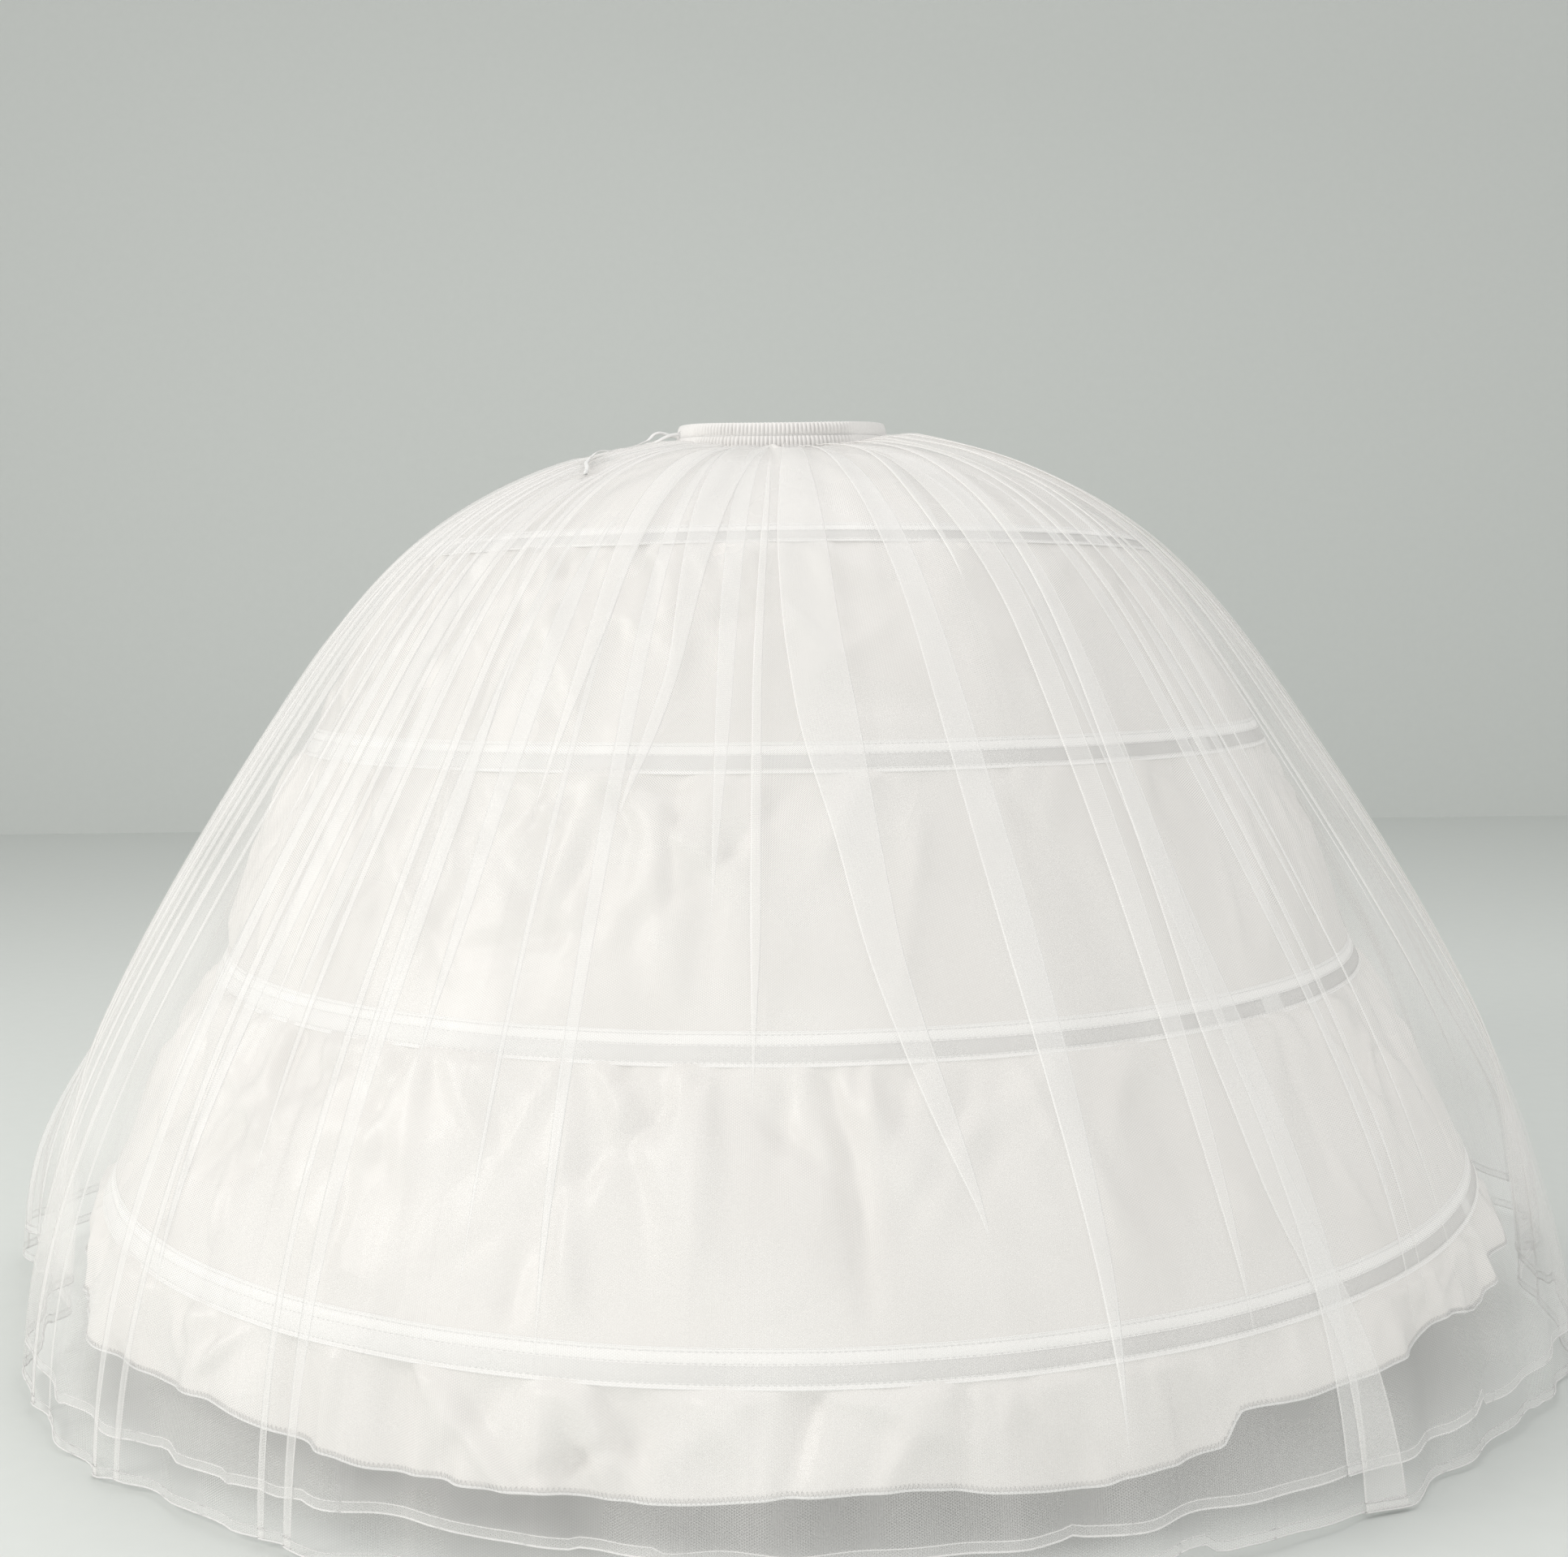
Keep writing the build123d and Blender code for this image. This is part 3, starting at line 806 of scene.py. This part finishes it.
for label, share in (("middle", 0.5), ("lower", 0.965)):
    line_r = BAND_TOP + BAND_FLARE * share - 0.0004 + dip
    line = turned(line_r, spots, BAND_HEIGHT * share - waist_droop(spots))
    tube(f"waistband_{label}_stitching", line, 0.00030, seam_thread, 4, True)
# A ring round each of the two eyelets
for label, side in (("back", -95.0), ("front", -73.0)):
    turn = np.linspace(0, 2 * math.pi, 28, endpoint=False)[:, None]
    spot = turned(EYELET_OUT, side, EYELET_DROP)
    tangent = np.array([math.cos(math.radians(side)), math.sin(math.radians(side)), 0])
    ring = spot + EYELET_RADIUS * (np.cos(turn) * tangent + np.sin(turn) * np.array([0, 0, 1.0]))
    tube(f"eyelet_{label}", ring, 0.0007, seam_thread, 8, True)

# ------------------------------------------------------------------ tulle
HEM_FOLD = 0.007
COLUMN_STEP = 0.6
LOWEST_HEM = 0.8868
# How far a fold stands off the net below it, how far back its edge is rounded, and the edge value of its
# hem: denser net at the rolled hem, with a painted highlight in its brighter colour
FOLD_LIFT = 0.0013
FOLD_ROUND = 0.0014
HEM_DENSITY_AND_HIGHLIGHT = 0.16
TAPE_LINES = np.concatenate([route_line(FRONT_END), route_line(BACK_END)])
# Each fold: its two edges' azimuths at stops down the skirt (share of the slope, lower
# azimuth, higher azimuth). It fades where they meet.
OUTER_FOLDS = [
    ((0.00, 1.0, 6.5), (0.16, -0.4, 5.2), (0.27, -0.8, 5.4), (0.36, -0.2, 5.6), (0.45, 1.2, 6.6),
     (0.53, 3.6, 7.1), (0.62, 5.3, 7.8), (0.70, 7.6, 9.4), (0.76, 9.6, 10.6), (0.80, 11.2, 11.2)),
    ((0.10, -2.4, -2.4), (0.22, -2.6, -1.7), (0.40, -3.0, -2.1), (0.60, -2.6, -1.8), (0.72, -2.2, -2.2)),
    ((0.00, 17.0, 22.0), (0.13, 18.6, 22.4), (0.22, 18.6, 21.0), (0.30, 20.2, 20.6), (0.33, 20.6, 20.6)),
    ((0.05, 23.4, 23.4), (0.20, 23.0, 27.2), (0.34, 24.6, 27.6), (0.50, 25.0, 27.4), (0.66, 25.2, 27.0),
     (0.78, 25.8, 26.8), (0.88, 26.6, 26.6)),
    ((0.00, 31.0, 36.0), (0.12, 30.4, 33.0), (0.32, 29.8, 32.0), (0.52, 28.7, 31.2), (0.68, 28.0, 30.4),
     (0.80, 29.4, 31.8), (0.90, 32.6, 34.8), (1.00, 33.2, 36.0)),
    ((0.00, -14.0, -3.5), (0.10, -12.6, -5.6), (0.20, -12.4, -7.4), (0.30, -11.6, -8.8),
     (0.40, -10.9, -9.8), (0.46, -12.4, -11.2), (0.52, -13.4, -13.4)),
    ((0.00, -24.0, -16.0), (0.12, -22.6, -16.9), (0.24, -21.4, -17.8), (0.36, -20.4, -18.4),
     (0.46, -20.6, -20.0), (0.52, -20.8, -20.8)),
]
INNER_FOLDS = [
    ((0.00, -9.0, -4.0), (0.20, -7.5, -4.6), (0.45, -6.2, -4.8), (0.60, -5.4, -5.4)),
    ((0.00, 9.0, 13.0), (0.15, 10.6, 14.8), (0.34, 13.2, 16.2), (0.60, 15.0, 17.6), (0.85, 17.0, 18.0),
     (0.95, 17.5, 17.5)),
    ((0.00, 24.0, 29.0), (0.30, 27.8, 30.8), (0.62, 29.2, 31.4), (0.84, 31.0, 33.0), (1.00, 32.0, 33.6)),
]


def loose_folds(spans, seed):
    """Narrow folds in spans of azimuth (start, end, how many, typical reach)."""
    chance = np.random.default_rng(seed)
    folds = []
    for start, end, count, reach in spans:
        room = (end - start) / count
        for index in range(count):
            middle = start + room * (index + 0.5 + chance.uniform(-0.16, 0.16))
            most = room * chance.uniform(0.18, 0.62)
            top = 0.0 if chance.random() < 0.6 else chance.uniform(0.08, 0.4)
            bottom = min(1.0, top + reach * chance.uniform(0.35, 1.15))
            stops = []
            drift = chance.normal(0, room * 0.07)
            for step, share in enumerate(np.linspace(top, bottom, 6)):
                wide = most * (1 - 0.7 * smooth(0.1, 1.0, step / 5)) * chance.uniform(0.92, 1.06)
                if step == 5 and bottom < 1.0 or step == 0 and top > 0:
                    wide = 0.0
                shift = drift * step / 2.5 + chance.normal(0, room * 0.015)
                stops.append((share, middle + shift - wide / 2, middle + shift + wide / 2))
            folds.append(tuple(stops))
    return folds


OUTER_FOLDS += loose_folds((
    (-93, -62, 10, 1.5), (-62, -26, 10, 0.95), (38, 72, 7, 0.9), (72, 104, 10, 1.5), (104, 266, 24, 0.8),
), 11)
INNER_FOLDS += loose_folds((
    (-96, -62, 8, 1.4), (-62, -12, 11, 0.8), (36, 70, 6, 0.8), (70, 100, 8, 1.4), (100, 262, 20, 0.7),
), 12)


def flare(azimuth, share):
    """The stiff net standing further out at the two sides near the hem, and drawn in beside them."""
    outwards = 0.034 * hump(azimuth, -88, 7) + 0.038 * hump(azimuth, 91, 6)
    inwards = 0.030 * hump(azimuth, -72, 6) + 0.020 * hump(azimuth, 76, 6)
    return (outwards - inwards) * smooth(0.76, 0.96, share)


def tucks(azimuth, share):
    """Rounded tucks that puff up where the net is gathered under the waistband, most at the sides."""
    angle = np.radians(azimuth)
    phase = 8.5 * angle + 1.0 * np.sin(3 * angle + 0.4) + 0.6 * np.sin(5 * angle + 2.0) + 0.5
    round_top = np.abs(np.sin(phase)) ** 0.6
    size = 0.6 + 0.4 * np.sin(7 * angle + 1.0)
    middle = front_and_back(azimuth)
    one_side = 0.25 + 0.75 * smooth(-40, 40, azimuth)
    tuck = smooth(0, 0.012, share) * np.exp(-((share / 0.055) ** 1.4))
    shoulder = smooth(0, 0.03, share) * np.exp(-((share / 0.13) ** 1.6))
    at_sides = one_side * (1 - middle)
    return tuck * round_top * size * (0.0040 + 0.0022 * at_sides) + shoulder * 0.0090 * at_sides


def hitched(azimuth):
    """How far the hem is caught up where the net bunches beside its two flared sides."""
    return 0.018 * hump(azimuth, -78, 3.6) + 0.008 * hump(azimuth, -69, 3.0) + 0.018 * hump(azimuth, 80, 3.4)


def waves(azimuth, share):
    """Outward relief of the gathers: fine at the waist, broad at the hem."""
    angle = np.radians(azimuth)
    fine = np.sin(71 * angle + 0.4)
    fine += 0.8 * np.sin(103 * angle + 1.9) + 0.6 * np.sin(137 * angle + 4.0)
    middling = np.sin(23 * angle + 0.9)
    middling += 0.8 * np.sin(34 * angle + 2.2 + 2 * share) + 0.6 * np.sin(47 * angle + 5)
    broad = np.sin(7 * angle + 1.1)
    broad += 0.7 * np.sin(12 * angle + 0.2 + share) + 0.5 * np.sin(17 * angle + 3.0)
    gathered = 0.0007 * smooth(0, 0.03, share) * np.exp(-share / 0.08)
    draped = 0.0016 * smooth(0, 0.14, share) * (1 - 0.3 * smooth(0.2, 0.5, share))
    loose = 0.0050 * smooth(0.45, 1.0, share)
    tips = 0.0030 * smooth(0.8, 1.0, share) * (np.sin(41 * angle + 1) + np.sin(58 * angle + 2))
    relief = gathered * (fine + 1.9) + draped * (middling + 1.9) + loose * (broad + 0.6) + tips
    return relief + tucks(azimuth, share) + flare(azimuth, share)


def jagged(azimuth, chance, corners, size):
    """A broken line round the hem, with its corners at uneven places."""
    places = np.sort(chance.uniform(-180, 180, corners))
    return np.interp(azimuth, places, chance.normal(0, size, corners), period=360)


def softened(values):
    """A run of values with its corners rounded off."""
    spread = np.array([1, 2, 3, 2, 1]) / 9
    return np.convolve(np.pad(values, 2, mode="edge"), spread, mode="valid")


def pressed(points, clearance):
    """The net kept under the two tape ends that lie across it."""
    spots = points.reshape(-1, 3)
    near = (spots[:, 0] < -0.08) & (spots[:, 2] > -0.12)
    picked = spots[near]
    away = np.hypot(picked[:, :1] - TAPE_LINES[:, 0], picked[:, 1:2] - TAPE_LINES[:, 1])
    ceiling = TAPE_LINES[:, 2] - clearance + 0.55 * np.maximum(away - 0.005, 0)
    picked[:, 2] = np.minimum(picked[:, 2], ceiling.min(1))
    spots[near] = picked
    return spots.reshape(points.shape)


def net_skirt(name, folds, rows, net, seed, hem_drop, turns, sink, clearance):
    """A skirt of net: one continuous sheet, laid in Z-folds where it is drawn together.

    hem_drop lowers its hem, turns gives the corners of its ragged line and their size, sink draws
    it in at the waist's front and back, and clearance keeps it below the tape ends.
    """
    profile = face_profile(name)
    total = profile[0][-1]
    fold_up = HEM_FOLD / total
    shares = np.linspace(0, 1, rows - 2) ** 1.12 * (1 - 1.2 * fold_up)
    shares = np.concatenate([shares, [1 - fold_up, 1]])
    radius, drop, out_r, out_z = section_at(profile, shares * total)
    folds = sorted(folds, key=lambda stops: np.mean([(s[1] + s[2]) / 2 for s in stops]))
    edges = []
    for stops in folds:
        at = [s[0] for s in stops]
        lower = softened(np.interp(shares, at, [s[1] for s in stops]))
        upper = softened(np.interp(shares, at, [s[2] for s in stops]))
        inside = (shares >= at[0]) & (shares <= at[-1])
        middle = (lower + upper) / 2
        wide = np.where(inside, upper - lower, 0)
        edges.append((middle - wide / 2, middle + wide / 2))
    # The columns of the sheet, in order along the cloth
    columns, heights, marks = [], [], []
    plain = np.zeros(rows)
    rounding = np.degrees(FOLD_ROUND / radius)

    def column(azimuth, height, mark):
        columns.append(azimuth)
        heights.append(height)
        marks.append(mark)

    for index, (lower, upper) in enumerate(edges):
        wide = upper - lower
        there = smooth(0.0, 0.5, wide)
        bend = np.minimum(rounding, wide * 0.3)
        before = columns[-1] if columns else edges[-1][1] - 360 + COLUMN_STEP
        ahead = upper - bend
        count = max(3, int(np.mean(ahead - before) / COLUMN_STEP))
        last_upper = edges[index - 1][1] if index else edges[-1][1] - 360
        last_there = smooth(0.0, 0.5, edges[index - 1][1] - edges[index - 1][0])
        for step in range(1, count + 1):
            azimuth = before + (ahead - before) * step / count
            fall = 1 - smooth(0.0, 1.6, azimuth - last_upper)
            column(azimuth, 2 * FOLD_LIFT * fall * last_there, plain)
        column(upper, FOLD_LIFT * 0.5 * there, there)
        column(upper - bend, FOLD_LIFT * there, plain)
        column(lower + bend, FOLD_LIFT * there, plain)
        column(lower, 1.5 * FOLD_LIFT * there, there)
        column(lower + bend, 2 * FOLD_LIFT * there, plain)
    azimuths = np.stack(columns, 1)
    lift = np.stack(heights, 1)
    edge = np.stack(marks, 1)
    lift = lift + waves(azimuths, shares[:, None])
    lift -= sink * front_and_back(azimuths) * near_waist(shares * total)[:, None]
    chance = np.random.default_rng(seed)
    # Uneven hem, with a rolled edge that is denser and carries a painted highlight
    ragged = sum(jagged(azimuths, chance, corners, size) for corners, size in turns)
    near_hem = smooth(0.55, 1.0, shares)[:, None]
    fall = drop[:, None] + (hem_drop + ragged) * near_hem - hitched(azimuths) * near_hem**3
    fall -= waist_droop(azimuths) * np.exp(-shares * total / DROOP_REACH)[:, None]
    fall += shoulder_dip(azimuths, shares[:, None] * total)
    edge = np.maximum(edge, HEM_DENSITY_AND_HIGHLIGHT * (shares > 1 - 1.1 * fold_up)[:, None])
    radii = radius[:, None] + lift * out_r[:, None]
    levels = np.minimum(fall - lift * out_z[:, None], LOWEST_HEM)
    points = pressed(turned(radii, azimuths, levels), clearance)
    span = np.cumsum(np.abs(np.diff(np.append(azimuths[-1], azimuths[-1][0] + 360))))
    along_cloth = np.concatenate([[0], span[:-1]]) * math.radians(1) * radius[-1]
    cloth = cloth_map(along_cloth, shares * total, radii.shape)
    piece = lattice(name + "_net", points, net, cloth, edge=edge)
    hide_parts(name)
    # Light that other pieces bounce about passes the thin net by, to save render time
    piece.visible_diffuse = False
    rim = tube(name + "_hem", points[-1], 0.0008, hem_thread, 4, True)
    fold_line = tube(name + "_hem_fold", points[-2], 0.0005, hem_thread, 3, True)
    return piece, [rim, fold_line], float(along_cloth[-1]), float(total)


inner_turns = ((14, 0.0050), (46, 0.0030), (110, 0.0016))
inner_made = net_skirt(
    "tulle_inner", INNER_FOLDS, 70, inner_net, 31, -0.017, inner_turns, 0.0050, 0.0062)
outer_turns = ((17, 0.0024), (60, 0.0024), (130, 0.0014))
outer_made = net_skirt(
    "tulle_outer", OUTER_FOLDS, 74, outer_net, 32, -0.004, outer_turns, 0.0075, 0.0032)

# ------------------------------------------------------------------ studio
def studio_paint(name, painted_light_pool=None):
    """Pale matt paint. The second argument gives the radii between which a paler round in its middle fades:
    a painted pool of light that lifts the skirt's shadow on the floor beneath it.
    """
    material, tree, out = new_material(name)
    place = node(tree, "ShaderNodeTexCoord").outputs["Object"]
    grain = noise(tree, place, 40.0, 4.0)
    pale = blended(tree, grain, (0.675, 0.705, 0.685, 1.0), (0.705, 0.735, 0.715, 1.0))
    if painted_light_pool:
        reach = node(tree, "ShaderNodeVectorMath", {0: place}, operation="LENGTH").outputs["Value"]
        # Paler round under the skirt: a painted pool of light that lifts the skirt's shadow
        pale = blended(tree, scaled(tree, reach, *painted_light_pool, 1.0, 0.0), pale, (0.93, 0.96, 0.93, 1.0))
    inputs = {"Base Color": pale, "Roughness": 0.8}
    put(tree, out.inputs["Surface"], node(tree, "ShaderNodeBsdfPrincipled", inputs).outputs[0])
    return material


floor_level = -0.8875
bpy.ops.mesh.primitive_plane_add(size=17, location=(0, 0, floor_level))
floor = bpy.context.object
floor.name = "studio_floor"
# The floor is painted paler under the skirt: a painted pool of light against the skirt's shadow
floor.data.materials.append(studio_paint("studio_floor", (0.64, 0.73)))
bpy.ops.mesh.primitive_plane_add(size=14, location=(0, 4.5, 4.0), rotation=(math.radians(90), 0, 0))
wall = bpy.context.object
wall.name = "studio_wall"
wall.data.materials.append(studio_paint("studio_wall"))

world = bpy.data.worlds.new("studio")
scene.world = world
world.use_nodes = True
world.node_tree.nodes["Background"].inputs[0].default_value = (1.0, 0.99, 0.975, 1.0)
world.node_tree.nodes["Background"].inputs[1].default_value = 0.64


def area_light(name, spot, aim, size, power, colour):
    """A soft rectangular light that faces a point."""
    data = bpy.data.lights.new(name, "AREA")
    data.shape = "RECTANGLE"
    data.size, data.size_y = size
    data.energy = power
    data.color = colour
    lamp = bpy.data.objects.new(name, data)
    scene.collection.objects.link(lamp)
    lamp.location = spot
    lamp.rotation_euler = (Vector(aim) - Vector(spot)).to_track_quat("-Z", "Y").to_euler()


area_light("key", (-3.2, -1.5, 1.3), (0, 0, -0.5), (1.2, 1.2), 62, (1.0, 0.975, 0.94))
area_light("front", (-0.3, -2.9, -0.45), (0, -0.7, -0.88), (2.0, 0.5), 11, (1.0, 0.99, 0.97))
area_light("fill", (3.0, -2.2, 1.0), (0, 0, -0.5), (2.4, 2.4), 20, (1.0, 0.99, 0.98))
area_light("top", (0.3, 0.6, 2.6), (0, 0, -0.4), (3.0, 3.0), 30, (1.0, 1.0, 1.0))

scene.view_settings.view_transform = "Standard"
scene.cycles.transparent_max_bounces = 24
scene.cycles.max_bounces = 4
scene.cycles.diffuse_bounces = 2
